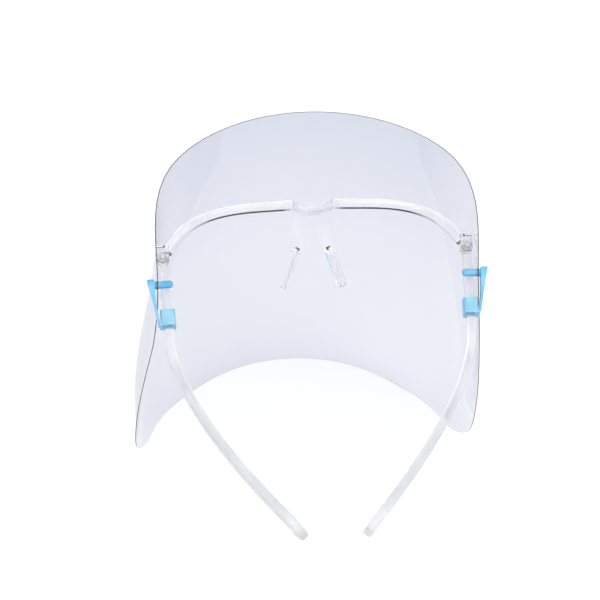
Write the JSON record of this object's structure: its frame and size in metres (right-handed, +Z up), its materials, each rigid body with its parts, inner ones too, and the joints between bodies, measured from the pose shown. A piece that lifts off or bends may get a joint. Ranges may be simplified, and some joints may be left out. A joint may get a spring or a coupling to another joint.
{
  "type": "glasses-frame face shield",
  "caption": "Clear wrap-round face shield on a half-rim glasses frame with nose pads, folding temples and coloured side clips.",
  "frame": {"origin": "where the bridge rests on the nose, level with the two temple hinges", "axes": "-Y out through the front of the visor, +Y along the temples towards the ears, +Z up, +X the wearer's left"},
  "size_m": [0.164, 0.1866, 0.2043],
  "materials": {
    "visor_sheet": "clear thin plastic sheet",
    "clear_frame": "clear moulded plastic, polished",
    "clear_nose_piece": "soft clear moulded plastic",
    "blue_clip": "translucent light blue moulded plastic",
    "hinge_pin": "clear moulded plastic"
  },
  "bodies": {
    "front": {"visor": "visor_sheet", "frame_front": "clear_frame", "nose_piece": "clear_nose_piece", "hinge_pin_left": "hinge_pin", "hinge_pin_right": "hinge_pin"},
    "left_temple": {"temple_left": "clear_frame", "clip_sleeve_left": "blue_clip"},
    "right_temple": {"temple_right": "clear_frame", "clip_sleeve_right": "blue_clip"},
    "left_clip_lever": {"clip_lever_left": "blue_clip"},
    "right_clip_lever": {"clip_lever_right": "blue_clip"}
  },
  "joints": [
    {"name": "left_temple_hinge", "type": "hinge", "parent": "front", "child": "left_temple", "pos_m": [0.0653, 0.013, 0], "axis": [0, -0.2504, -0.9681], "range_deg": [-5, 20], "deforming": ["visor"]},
    {"name": "right_temple_hinge", "type": "hinge", "parent": "front", "child": "right_temple", "pos_m": [-0.0653, 0.013, 0], "axis": [0, 0.2504, 0.9681], "range_deg": [-5, 20], "deforming": ["visor"]},
    {"name": "left_clip_lever_hinge", "type": "hinge", "parent": "left_temple", "child": "left_clip_lever", "pos_m": [0.06785, 0.04198, -0.00749], "axis": [0, 0.2504, 0.9681], "range_deg": [0, 35], "stiffness_Nm_per_rad": 0.01, "deforming": ["visor"]},
    {"name": "right_clip_lever_hinge", "type": "hinge", "parent": "right_temple", "child": "right_clip_lever", "pos_m": [-0.06785, 0.04198, -0.00749], "axis": [0, -0.2504, -0.9681], "range_deg": [0, 35], "stiffness_Nm_per_rad": 0.01, "deforming": ["visor"]}
  ]
}
